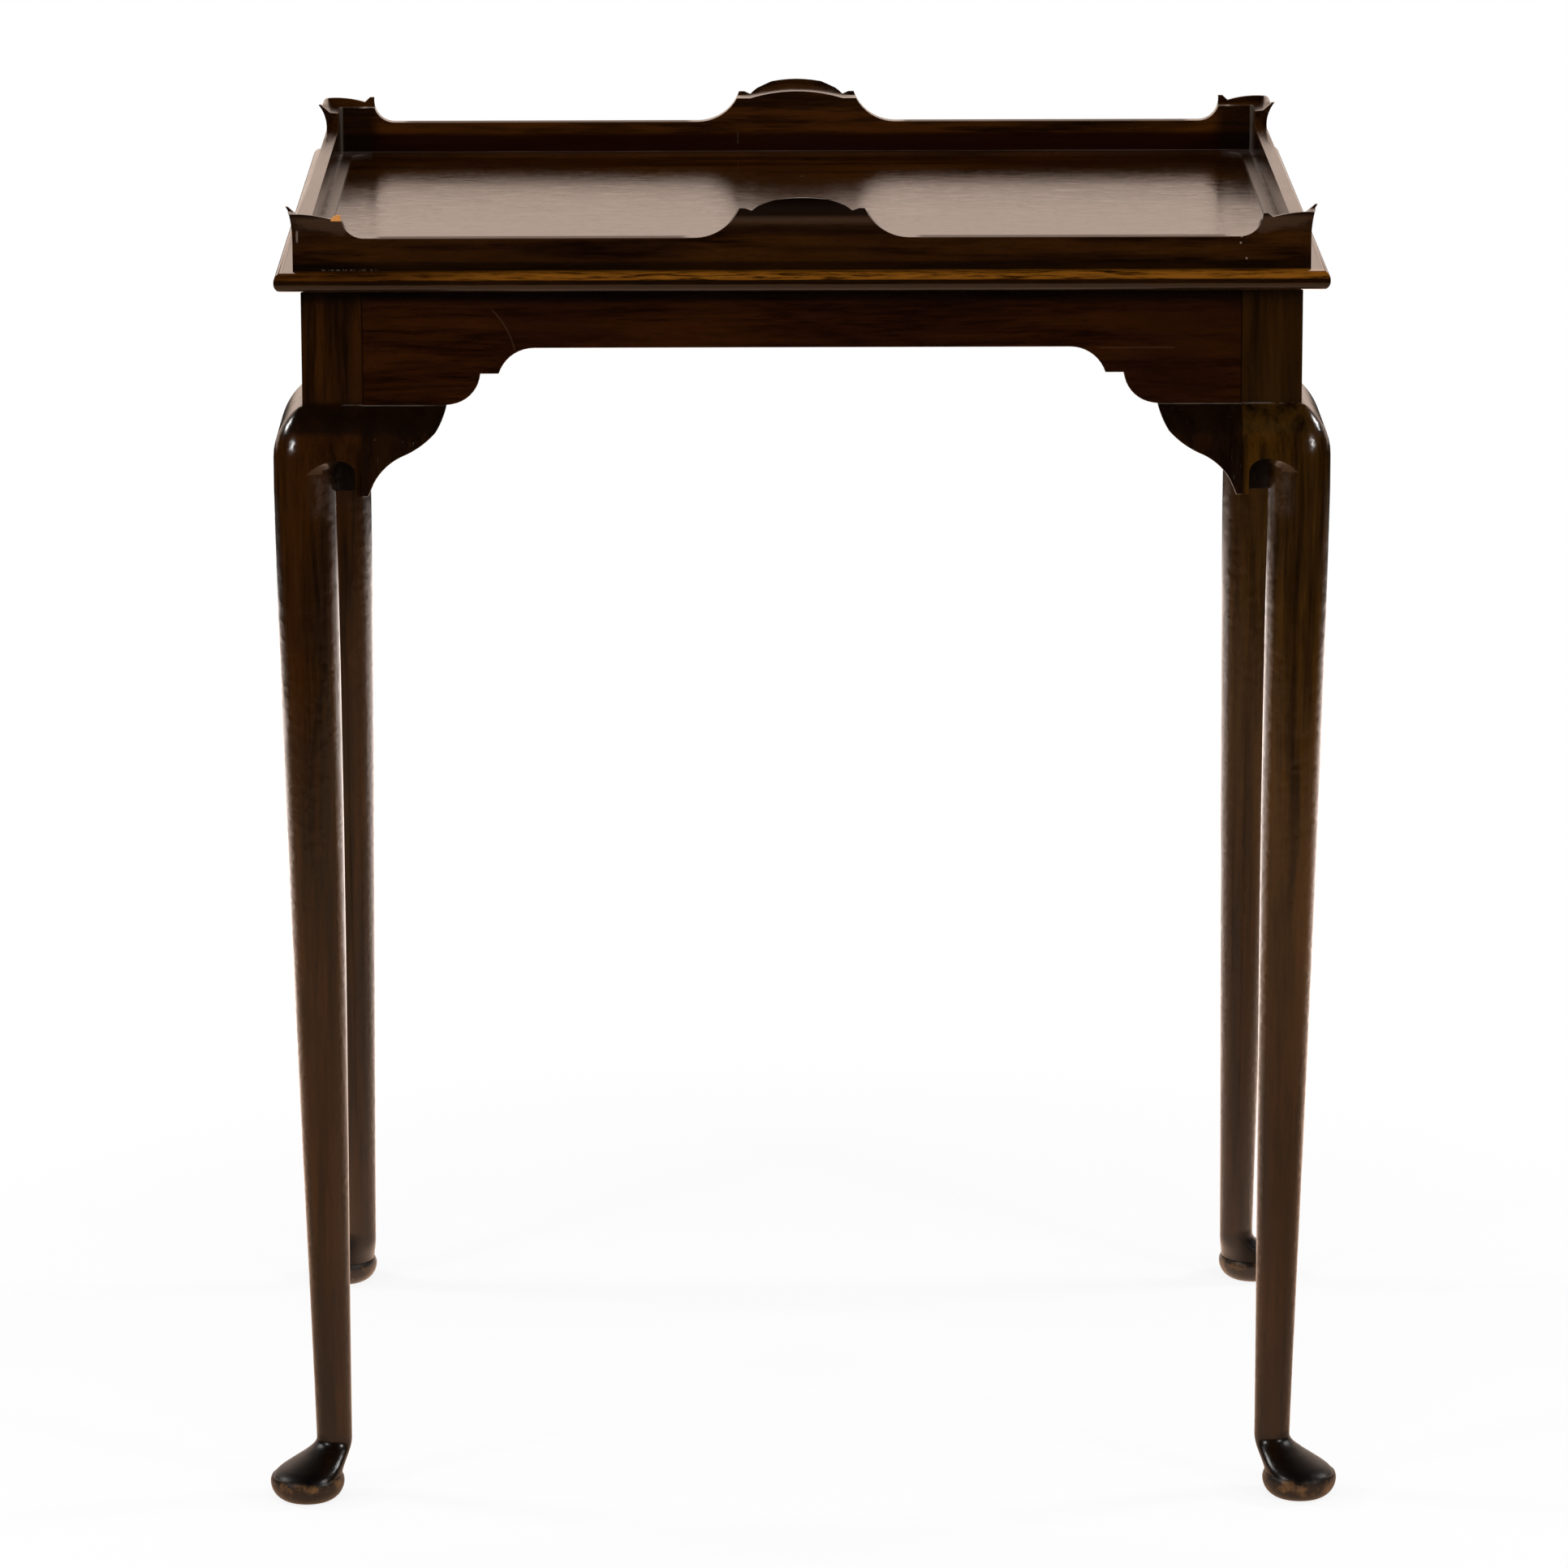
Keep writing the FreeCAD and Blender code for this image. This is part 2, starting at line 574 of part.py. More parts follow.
# A bracket lies beside the knee and under the apron; hand 1 runs along the corner's own x,
# hand -1 along its own y
def make_bracket(corner, side, x, y, turn, hand):
    quarter = turn if hand > 0 else turn - 1
    body = start_body(f"knee_bracket_{corner}_{side}", (x, y, 0), quarter * QUARTER_TURN)
    start = dim["post_size"]

    def station(along, drop):
        return ((start + along) * hand, knee_top - drop)

    shape = start_sketch(body, "shape", "XZ_Plane", (0, 0, knee_face))
    draw_outline(shape, [
        station(0, dim["knee_height"]),
        station(dim["bracket_tip"], dim["knee_height"]),
        station(dim["bracket_throat"], dim["bracket_throat_drop"]) + (dim["throat_bend"], -hand),
        station(dim["bracket_chin"], dim["bracket_chin_drop"]) + (dim["chin_bend"], hand),
        station(dim["bracket_nose"], dim["bracket_nose_drop"]) + (dim["nose_bend"], hand),
        station(dim["bracket_length"], 0),
        station(0, 0)])
    pad(body, "blank", shape, knee_face + dim["apron_thickness"], back=True)
    past = knee_face + dim["knee_ledge"]
    above = knee_top + dim["knee_ledge"]
    waste = start_sketch(body, "shoulder_waste", "YZ_Plane")
    draw_outline(waste, [
        (-knee_face, knee_top - dim["knee_drop"], knee_bend, -1), (-dim["knee_ledge"], knee_top),
        (-dim["knee_ledge"], above), (-past, above), (-past, knee_top - dim["knee_drop"])])
    cut(body, "shoulder_cut", waste, both=True)
    return body


# Notched block in a corner, against both aprons, the post and the board
def make_corner_block(corner, x, y, turn):
    low = dim["frame_top"] - dim["corner_block_height"]
    body = start_body(f"corner_block_{corner}", (x, y, low), turn * QUARTER_TURN)
    wall = dim["apron_thickness"]
    post = dim["post_size"]
    end = wall + dim["corner_block_leg"]
    plan = start_sketch(body, "plan", "XY_Plane")
    draw_outline(plan, [(post, wall), (end, wall), (wall, end), (wall, post), (post, post)])
    pad(body, "block", plan, dim["corner_block_height"])
    hole = start_sketch(body, "screw_hole", "XY_Plane")
    place = wall + dim["screw_inset"]
    draw_circle(hole, place, place, dim["screw_across"] / 2 + dim["screw_gap"])
    cut(body, "screw_cut", hole, both=True)
    return body


def place_primitive(thing, x, y, z):
    for axis, length in zip("xyz", (x, y, z)):
        bind(thing, f"Placement.Base.{axis}", size(length))
    return thing


def group(name, members):
    whole = doc.addObject("Part::Compound", name)
    whole.Label = name
    whole.Links = members
    return whole


def make_pins():
    members = []
    for number, (x, y) in enumerate(all_pin_places()):
        pin = doc.addObject("Part::Cylinder", f"gallery_pin_{number}")
        bind(pin, "Radius", dim["pin_across"] / 2)
        bind(pin, "Height", dim["pin_in_board"] + dim["pin_in_rail"])
        members.append(place_primitive(pin, x, y, tray_top - dim["pin_in_board"]))
    return group("gallery_pins", members)


def make_screws():
    members = []
    seat = dim["frame_top"] - dim["corner_block_height"]
    for number, (x, y) in enumerate(all_screw_places()):
        shank = doc.addObject("Part::Cylinder", f"screw_shank_{number}")
        bind(shank, "Radius", dim["screw_across"] / 2)
        bind(shank, "Height", dim["corner_block_height"] + dim["screw_bite"])
        place_primitive(shank, x, y, seat)
        head = doc.addObject("Part::Cone", f"screw_head_{number}")
        bind(head, "Radius1", dim["screw_head_across"] / 2 - dim["screw_head_height"] / 2)
        bind(head, "Radius2", dim["screw_head_across"] / 2)
        bind(head, "Height", dim["screw_head_height"])
        place_primitive(head, x, y, seat - dim["screw_head_height"])
        screw = doc.addObject("Part::Fuse", f"screw_{number}")
        screw.Base = shank
        screw.Tool = head
        members.append(screw)
    return group("top_screws", members)


def make_rub_blocks():
    members = []
    thick = dim["rub_block_size"]
    for number, (side, half_length, face, turn) in enumerate(SIDES):
        out_x, out_y = OUTWARD[turn]
        spots = [size(0)] if number % 2 else [-dim["rub_block_spacing"] / 2, dim["rub_block_spacing"] / 2]
        inner = face - dim["apron_thickness"]
        for place, along in enumerate(spots):
            block = doc.addObject("Part::Box", f"rub_block_{side}_{place}")
            bind(block, "Length", dim["rub_block_length"])
            bind(block, "Width", thick)
            bind(block, "Height", thick)
            block.Placement.Rotation = FreeCAD.Rotation(FreeCAD.Vector(0, 0, 1), turn * QUARTER_TURN)
            start = along - dim["rub_block_length"] / 2
            place_primitive(block, inner * out_x - start * out_y, inner * out_y + start * out_x,
                            dim["frame_top"] - thick)
            members.append(block)
    return group("glue_blocks", members)


pieces = [make_board()]
for number, (side, half_length, face, turn) in enumerate(SIDES):
    pieces.append(make_rail(side, half_length, face, turn, crested=number % 2 == 0))
    pieces.append(make_apron(side, half_length, face, turn))
for corner, x, y, turn, first, second in CORNERS:
    ankle = "front_ankle_setback" if turn < 2 else "back_ankle_setback"
    pieces.append(make_leg(corner, x, y, turn, dim[ankle]))
    pieces.append(make_bracket(corner, first, x, y, turn, 1))
    pieces.append(make_bracket(corner, second, x, y, turn, -1))
    pieces.append(make_corner_block(corner, x, y, turn))
pieces += [make_pins(), make_screws(), make_rub_blocks()]
doc.recompute()

for thing in doc.Objects:
    if "Invalid" in thing.State or "Error" in thing.State:
        raise RuntimeError(f"{thing.Name} failed: {thing.State}")
for piece in pieces:
    if piece.Shape.isNull() or not piece.Shape.isValid():
        raise RuntimeError(f"{piece.Label} has no valid shape")

os.makedirs("parts", exist_ok=True)
for piece in pieces:
    piece.Shape.exportStep(f"parts/{piece.Label}.step")
    print(piece.Label, round(piece.Shape.Volume), len(piece.Shape.Solids))
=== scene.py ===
import math
import bmesh
import bpy
from mathutils import Matrix, Vector


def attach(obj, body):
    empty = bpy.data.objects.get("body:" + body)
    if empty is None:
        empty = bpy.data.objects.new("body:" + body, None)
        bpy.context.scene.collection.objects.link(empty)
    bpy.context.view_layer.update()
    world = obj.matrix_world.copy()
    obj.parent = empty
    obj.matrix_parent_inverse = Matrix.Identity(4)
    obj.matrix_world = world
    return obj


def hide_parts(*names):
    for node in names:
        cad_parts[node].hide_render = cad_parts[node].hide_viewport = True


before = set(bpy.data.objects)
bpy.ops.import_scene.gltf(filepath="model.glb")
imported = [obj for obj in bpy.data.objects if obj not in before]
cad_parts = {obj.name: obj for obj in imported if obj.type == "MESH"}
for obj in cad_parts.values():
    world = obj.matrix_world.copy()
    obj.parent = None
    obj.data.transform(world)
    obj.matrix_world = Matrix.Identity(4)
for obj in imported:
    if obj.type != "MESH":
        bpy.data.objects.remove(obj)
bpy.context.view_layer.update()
scene = bpy.context.scene
scene.view_settings.view_transform = "Standard"
print("frame in,", len(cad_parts), "nodes")


class Reading:
    # one socket; plain operators on it add Math nodes
    def __init__(self, bench, socket):
        self.bench = bench
        self.socket = socket

    def maths(self, operation, first, second):
        return self.bench.node("ShaderNodeMath", {"operation": operation}, {0: first, 1: second})

    def other(self, name):
        return Reading(self.bench, self.socket.node.outputs[name])

    def __abs__(self):
        return self.maths("ABSOLUTE", self, 0.0)

    def __add__(self, value):
        return self.maths("ADD", self, value)

    def __sub__(self, value):
        return self.maths("SUBTRACT", self, value)

    def __rsub__(self, value):
        return self.maths("SUBTRACT", value, self)

    def __mul__(self, value):
        return self.maths("MULTIPLY", self, value)

    __radd__ = __add__
    __rmul__ = __mul__


class Bench:
    # a node tree being filled
    def __init__(self, tree):
        self.tree = tree
        tree.nodes.clear()

    def node(self, kind, settings=None, inputs=None, out=0):
        made = self.tree.nodes.new(kind)
        for name, value in (settings or {}).items():
            setattr(made, name, value)
        for key, value in (inputs or {}).items():
            if isinstance(value, Reading):
                self.tree.links.new(value.socket, made.inputs[key])
            else:
                made.inputs[key].default_value = value
        return Reading(self, made.outputs[out]) if made.outputs else None

    def rise(self, value, low, high):
        # 0 at low, 1 at high, eased between
        return self.node("ShaderNodeMapRange", {"interpolation_type": "SMOOTHSTEP"},
                         {"Value": value, "From Min": low, "From Max": high})

    def band(self, value, low, high, soft):
        # 1 between low and high, fading over soft outside them
        return self.rise(value, low - soft, low) * self.rise(value, high + soft, high)

    def tint(self, share, first, second):
        # a Mix node's colours are its sockets 6 and 7, and its output 2
        return self.node("ShaderNodeMix", {"data_type": "RGBA"}, {0: share, 6: first, 7: second}, out=2)

    def gap(self, place, point):
        return self.node("ShaderNodeVectorMath", {"operation": "DISTANCE"}, {0: place, 1: point},
                         out="Value")

    def layer(self, place, scale, look):
        # noise at a scale, and the part of it that shows
        noise = self.node("ShaderNodeTexNoise", {}, {"Vector": place, "Scale": scale,
                                                     "Detail": look["detail"], "Roughness": look["rough"]})
        return self.rise(noise, look["low"], look["high"])


def tone(red, green, blue):
    # a colour as a paint chart gives it, 0 to 255, made linear
    shares = [c / 255 for c in (red, green, blue)]
    return tuple(s / 12.92 if s < 0.04045 else ((s + 0.055) / 1.055) ** 2.4 for s in shares) + (1.0,)


# where each wood runs: the grain's own direction is squeezed, so that noise draws into streaks
grainRuns = {
    "wide": (0.08, 1.0, 1.0),
    "deep": (1.0, 0.08, 1.0),
    "tall": (1.0, 1.0, 0.06),
}

# how each layer of a finish is drawn: its noise, and the span of it that shows
layers = {
    "figure": {"detail": 4.0, "rough": 0.60, "low": 0.40, "high": 0.62},
    "streak": {"detail": 5.0, "rough": 0.65, "low": 0.38, "high": 0.62},
    "pore": {"detail": 2.0, "rough": 0.50, "low": 0.60, "high": 0.70},
    "patch": {"detail": 3.0, "rough": 0.60, "low": 0.38, "high": 0.64},
    "rubbing": {"detail": 4.0, "rough": 0.70, "low": 0.30, "high": 0.62},
    "rust": {"detail": 5.0, "rough": 0.65, "low": 0.45, "high": 0.62},
}

# what all the woods share
surface = {"swayDetail": 1.0, "rubbingScale": 70.0, "uneven": 0.03, "rubbedRough": 0.10,
           "streakHeight": 0.5, "poreDepth": 0.25, "relief": 0.0003}

markNoise = {"detail": 4.0, "rough": 0.65}
fromCentre = -1.0  # a round spot has no inner limit


def markShare(bench, spot, fibre, mark):
    # how much of a mark shows at a place: inside its limits, round its point, broken along the
    # grain by its mottle or all ways by its blotch
    share = mark["share"]
    for axis, (low, high, soft) in mark.get("within", {}).items():
        share = bench.band(spot[axis], low, high, soft) * share
    if "around" in mark:
        centre, low, high, soft = mark["around"]
        share = bench.band(bench.gap(spot["place"], centre), low, high, soft) * share
    for kind, ground in (("mottle", fibre), ("blotch", spot["place"])):
        if kind in mark:
            scale, low, high = mark[kind]
            share = bench.layer(ground, scale, {**markNoise, "low": low, "high": high}) * share
    return share


def woodFinish(wood):
    material = bpy.data.materials.new(wood["name"])
    material.use_nodes = True
    bench = Bench(material.node_tree)
    place = bench.node("ShaderNodeTexCoord", out="Object")
    x = bench.node("ShaderNodeSeparateXYZ", {}, {0: place}, out="X")
    y = x.other("Y")
    spot = {"place": place, "x": x, "y": y, "z": x.other("Z"), "across": abs(x), "deep": abs(y)}
    # the wood's fibres wander a little along their length
    sway = bench.node("ShaderNodeTexNoise", {}, {"Vector": place, "Scale": wood["swayScale"],
                                                 "Detail": surface["swayDetail"]}, out="Color")
    shift = bench.node("ShaderNodeVectorMath", {"operation": "MULTIPLY_ADD"},
                       {0: sway, 1: (wood["sway"],) * 3, 2: place})
    fibre = bench.node("ShaderNodeMapping", {}, {"Vector": shift, "Scale": grainRuns[wood["grain"]]})
    figure = bench.layer(fibre, wood["figureScale"], layers["figure"])
    streak = bench.layer(fibre, wood["streakScale"], layers["streak"])
    pore = bench.layer(fibre, wood["poreScale"], layers["pore"])
    patch = bench.layer(place, wood["patchScale"], layers["patch"])
    colour = bench.tint(streak, wood["dark"], wood["middle"])
    colour = bench.tint(figure * wood["figureShare"], colour, wood["light"])
    colour = bench.tint(patch * wood["patchShare"], colour, wood["stain"])
    colour = bench.tint(pore * wood["poreShare"], colour, wood["dark"])
    # polish rubbed thin along the arrises
    arris = bench.node("ShaderNodeAttribute", {"attribute_name": "arris"}, out="Fac")
    rubbed = bench.layer(place, surface["rubbingScale"], layers["rubbing"]) * arris
    colour = bench.tint(rubbed * wood["rubShare"], colour, wood["rubbed"])
    rough = wood["rough"] + surface["uneven"] * (patch + streak + pore) + surface["rubbedRough"] * rubbed
    dull = 0.0  # a dull mark lowers the mirroring
    for mark in wood.get("marks", ()):
        share = markShare(bench, spot, fibre, mark)
        colour = bench.tint(share, colour, mark["tone"])
        if "rough" in mark:
            rough = rough + share * (mark["rough"] - wood["rough"])
        if "dull" in mark:
            dull = share * mark["dull"] + dull
    height = surface["streakHeight"] * streak - surface["poreDepth"] * pore
    bump = bench.node("ShaderNodeBump", {}, {"Strength": wood["bump"], "Distance": surface["relief"],
                                             "Height": height})
    shader = bench.node("ShaderNodeBsdfPrincipled", {},
                        {"Base Color": colour, "Roughness": rough, "Metallic": dull, "IOR": wood["gloss"],
                         "Normal": bump})
    bench.node("ShaderNodeOutputMaterial", {}, {"Surface": shader})
    return material


# planes in which pieces meet flush, and the rim of the feet: edges there stay crisp
joints = {"postSide": 0.2235, "postBack": 0.1625, "kneeTop": 0.580, "trayTop": 0.650, "padRim": 0.0126,
          "mitre": 0.061, "near": 0.0002}

# how a CAD node's copy is merged: points this close, faces this flat
merging = {"near": 0.000002, "flat": math.radians(0.05)}

# an edge sharper than the first is an arris, one sharper than the second breaks the shading
edgeAngles = {"sharp": math.radians(30), "crease": math.radians(40)}
fineEdge = {**edgeAngles, "width": 0.0004, "steps": 2}


def atJoint(spot):
    across, deep = abs(spot.x), abs(spot.y)
    gaps = (across - joints["postSide"], deep - joints["postBack"], spot.z - joints["kneeTop"],
            spot.z - joints["trayTop"], spot.z - joints["padRim"], across - deep - joints["mitre"])
    return min(abs(gap) for gap in gaps) < joints["near"]


def softenedCopy(nodeName, edge):
    # a merged copy of a CAD node with its arrises taken off; new faces carry the arris mark
    bm = bmesh.new()
    bm.from_mesh(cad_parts[nodeName].data)
    bmesh.ops.remove_doubles(bm, verts=bm.verts, dist=merging["near"])
    bmesh.ops.dissolve_limit(bm, angle_limit=merging["flat"], verts=bm.verts, edges=bm.edges)
    sharp = [e for e in bm.edges if len(e.link_faces) == 2 and e.calc_face_angle() > edge["sharp"]
             and e.is_convex and not atJoint((e.verts[0].co + e.verts[1].co) / 2)]
    cut = bmesh.ops.bevel(bm, geom=sharp, offset=edge["width"], offset_type="OFFSET", segments=edge["steps"],
                          profile=0.5, affect="EDGES", clamp_overlap=True, material=-1,
                          face_strength_mode="ALL")
    mark = bm.loops.layers.float.new("arris")
    for face in cut["faces"]:
        for loop in face.loops:
            loop[mark] = 1.0
    for face in bm.faces:
        face.smooth = True
    for e in bm.edges:
        e.smooth = len(e.link_faces) == 2 and e.calc_face_angle() < edge["crease"]
    mesh = bpy.data.meshes.new(nodeName + "_polished")
    bm.to_mesh(mesh)
    bm.free()
    piece = bpy.data.objects.new(nodeName + "_polished", mesh)
    scene.collection.objects.link(piece)
    even = piece.modifiers.new("even shading", "WEIGHTED_NORMAL")
    even.keep_sharp = True
    even.use_face_influence = True
    return piece


def dress(part, nodeName, finish):
    piece = softenedCopy(nodeName, part["edge"])
    piece.data.materials.clear()
    piece.data.materials.append(finish)
    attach(piece, "root")
    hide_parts(nodeName)


# a dark tone for real stains and joints, for painted shade in corners and low on the feet, and for darker
# bands at creases and ledges
dirtAndShade = tone(9, 4, 1)
dust = tone(128, 114, 102)
shadow = tone(5, 2, 1)
grime = tone(40, 20, 8)

# the tray's board, with gold wear on its rounded edge and dust along the gallery's foot
trayBoard = {
    "slot": "board",
    "edge": fineEdge,
    "wood": {
        "name": "tray mahogany", "grain": "wide", "swayScale": 5.0, "sway": 0.004,
        "dark": tone(18, 7, 0), "middle": tone(42, 18, 1), "light": tone(70, 37, 3),
        "stain": tone(30, 11, 1), "rubbed": tone(120, 76, 30), "rubShare": 0.5,
        "figureScale": 70.0, "figureShare": 0.5, "streakScale": 560.0, "poreScale": 1500.0,
        "poreShare": 0.6, "patchScale": 9.0, "patchShare": 0.5, "rough": 0.055, "bump": 0.10, "gloss": 1.5,
        "marks": [
            # the rounded edge: gold wear along the front, brown wear all along, painted shade underneath
            {"within": {"y": (-0.21, -0.1985, 0.0006), "z": (0.6468, 0.652, 0.001), "x": (-0.12, 0.3, 0.11)},
             "tone": tone(146, 90, 22), "share": 0.7, "mottle": (520.0, 0.34, 0.62)},
            {"within": {"deep": (0.1985, 0.210, 0.0006), "z": (0.6466, 0.652, 0.0012)},
             "tone": tone(90, 50, 12), "share": 0.35, "mottle": (520.0, 0.36, 0.62)},
            {"within": {"deep": (0.2, 0.210, 0.0006), "z": (0.638, 0.6456, 0.0008)},
             "tone": tone(18, 8, 3), "share": 0.75},
            # darker along the outside of the gallery's foot
            {"within": {"deep": (0.1960, 0.1982, 0.0006), "z": (0.649, 0.652, 0.0002)},
             "tone": dirtAndShade, "share": 0.8},
            # dull grime inside it and in the corners, then dust in the angle
            {"within": {"deep": (0.1838, 0.1905, 0.0006), "across": (0.0, 0.2515, 0.001)},
             "tone": grime, "share": 0.6, "rough": 0.45},
            {"within": {"across": (0.2448, 0.2515, 0.0006), "deep": (0.0, 0.1905, 0.001)},
             "tone": grime, "share": 0.6, "rough": 0.45},
            {"within": {"across": (0.2350, 0.2515, 0.002), "deep": (0.1740, 0.1905, 0.002)},
             "tone": tone(46, 26, 12), "share": 0.8, "rough": 0.6},
            {"within": {"deep": (0.1890, 0.1905, 0.0005), "across": (0.0, 0.2515, 0.001)},
             "tone": dust, "share": 0.6, "rough": 0.6, "mottle": (120.0, 0.30, 0.62)},
            {"within": {"across": (0.2499, 0.2515, 0.0005), "deep": (0.0, 0.1905, 0.001)},
             "tone": dust, "share": 0.6, "rough": 0.6, "mottle": (120.0, 0.30, 0.62)},
            # a stain and a speck on the field
            {"around": ((0.0072, 0.1677, 0.6488), fromCentre, 0.003, 0.004), "tone": dirtAndShade, "share": 0.7},
            {"around": ((0.0023, 0.1085, 0.6488), fromCentre, 0.0006, 0.0006), "tone": dust, "share": 0.7},
        ],
    },
}
dress(trayBoard, "tray_board", woodFinish(trayBoard["wood"]))

# the gallery round it: dark at its foot, a chip off one horn, a few specks
gallery = {
    "slot": "gallery",
    "edge": {**edgeAngles, "width": 0.0005, "steps": 3},
    "wood": {
        "name": "gallery mahogany", "grain": "wide", "swayScale": 6.0, "sway": 0.004,
        "dark": tone(12, 3, 0), "middle": tone(30, 12, 0), "light": tone(60, 31, 2), "stain": tone(24, 6, 0),
        "rubbed": tone(100, 64, 34), "rubShare": 0.5,
        "figureScale": 130.0, "figureShare": 0.55, "streakScale": 640.0, "poreScale": 1500.0,
        "poreShare": 0.6, "patchScale": 14.0, "patchShare": 0.4, "rough": 0.15, "bump": 0.10, "gloss": 1.5,
        "marks": [
            # the worn top of the plain stretches
            {"within": {"z": (0.6659, 0.6664, 0.0003), "across": (0.062, 0.212, 0.006)},
             "tone": tone(62, 36, 12), "share": 0.8, "rough": 0.6},
            # painted shade under the rims in front, darkest and dulled towards the top, in place of a dark
            # reflection
            {"within": {"y": (-0.21, -0.19, 0.001), "z": (0.670, 0.69, 0.003)}, "tone": tone(14, 5, 2),
             "share": 0.5},
            {"within": {"y": (-0.21, -0.19, 0.001), "z": (0.6785, 0.69, 0.003)}, "tone": tone(8, 3, 1),
             "share": 0.8, "rough": 0.3, "dull": 1.0},
            # the dark foot all round, and the back rail's inside: painted shade in red low down, painted
            # light in gold higher up
            {"within": {"z": (0.649, 0.6530, 0.002)}, "tone": dirtAndShade, "share": 0.6},
            {"within": {"y": (0.184, 0.1945, 0.0006), "z": (0.648, 0.6580, 0.003)},
             "tone": tone(24, 4, 1), "share": 0.85},
            {"within": {"y": (0.184, 0.1945, 0.0006), "z": (0.6615, 0.673, 0.003)},
             "tone": tone(78, 40, 7), "share": 0.5, "mottle": (200.0, 0.36, 0.60)},
            # painted shade in its corners, and dust on the corner edge
            {"within": {"across": (0.2360, 0.2520, 0.008), "y": (0.184, 0.192, 0.001)}, "tone": dirtAndShade,
             "share": 0.7},
            {"within": {"across": (0.2502, 0.2516, 0.0005), "y": (0.1870, 0.1925, 0.0008)},
             "tone": dust, "share": 0.35, "rough": 0.5},
            # the chip, bare wood, and dust at the foot below it
            {"within": {"x": (-0.2376, -0.2296, 0.0004), "y": (-0.21, -0.19, 0.001),
                        "z": (0.6758, 0.69, 0.0006)},
             "tone": tone(222, 146, 66), "share": 0.9, "rough": 0.6, "dull": -1.0,
             "mottle": (260.0, 0.34, 0.50)},
            {"within": {"x": (-0.2435, -0.2139, 0.002), "y": (-0.21, -0.196, 0.0004),
                        "z": (0.650, 0.6502, 0.0002)},
             "tone": dust, "share": 0.4, "blotch": (500.0, 0.46, 0.60)},
            # short scratches behind and on the left front ear
            {"within": {"x": (-0.0327, -0.0321, 0.0003), "y": (0.184, 0.192, 0.001),
                        "z": (0.6545, 0.6605, 0.001)},
             "tone": dust, "share": 0.06},
            {"within": {"x": (-0.2555, -0.2549, 0.0004), "y": (-0.21, -0.19, 0.001),
                        "z": (0.6655, 0.6690, 0.002)},
             "tone": dust, "share": 0.5},
            # three specks at the right
            {"around": ((0.2223, -0.1966, 0.6662), fromCentre, 0.0003, 0.0004), "tone": dust, "share": 0.8},
            {"around": ((0.2219, -0.1966, 0.6629), fromCentre, 0.0003, 0.0004), "tone": dust, "share": 0.8},
            {"around": ((0.2249, -0.1966, 0.6550), fromCentre, 0.0003, 0.0004), "tone": dust, "share": 0.8},
        ],
    },
}
galleryWide = woodFinish(gallery["wood"])
galleryDeep = woodFinish({**gallery["wood"], "name": "side gallery mahogany", "grain": "deep"})
for side in ("front", "right", "back", "left"):
    dress(gallery, "gallery_" + side, galleryWide if side in ("front", "back") else galleryDeep)
print("tray dressed")

# the aprons, with painted shadow under the board, fine joints at the posts and two old scratches
apron = {
    "slot": "apron",
    "edge": fineEdge,
    "wood": {
        "name": "apron mahogany", "grain": "wide", "swayScale": 6.0, "sway": 0.005,
        "dark": tone(13, 3, 0), "middle": tone(33, 10, 0), "light": tone(52, 23, 1), "stain": tone(28, 6, 0),
        "rubbed": tone(64, 36, 14), "rubShare": 0.5,
        "figureScale": 110.0, "figureShare": 0.55, "streakScale": 560.0, "poreScale": 1500.0,
        "poreShare": 0.6, "patchScale": 11.0, "patchShare": 0.5, "rough": 0.15, "bump": 0.08, "gloss": 1.5,
        "marks": [
            # painted shadow under the board, and the dark joints
            {"within": {"z": (0.6352, 0.645, 0.004)}, "tone": shadow, "share": 0.8},
            {"within": {"across": (0.2229, 0.2236, 0.0003)}, "tone": dirtAndShade, "share": 0.8},
            {"within": {"deep": (0.1619, 0.1626, 0.0003)}, "tone": dirtAndShade, "share": 0.8},
            # a curved scratch at the left, a straight one at the right
            {"around": ((-0.1870, -0.193, 0.5990), 0.0420, 0.0424, 0.0003),
             "within": {"z": (0.609, 0.628, 0.002), "x": (-0.157, -0.120, 0.002), "y": (-0.2, -0.19, 0.001)},
             "tone": tone(96, 74, 58), "share": 0.14},
            {"within": {"x": (0.1523, 0.1873, 0.004), "z": (0.6084, 0.6088, 0.0003),
                        "y": (-0.2, -0.19, 0.001)},
             "tone": tone(92, 66, 48), "share": 0.14},
        ],
    },
}
apronWide = woodFinish(apron["wood"])
apronDeep = woodFinish({**apron["wood"], "name": "side apron mahogany", "grain": "deep"})
for side in ("front", "right", "back", "left"):
    dress(apron, "apron_" + side, apronWide if side in ("front", "back") else apronDeep)
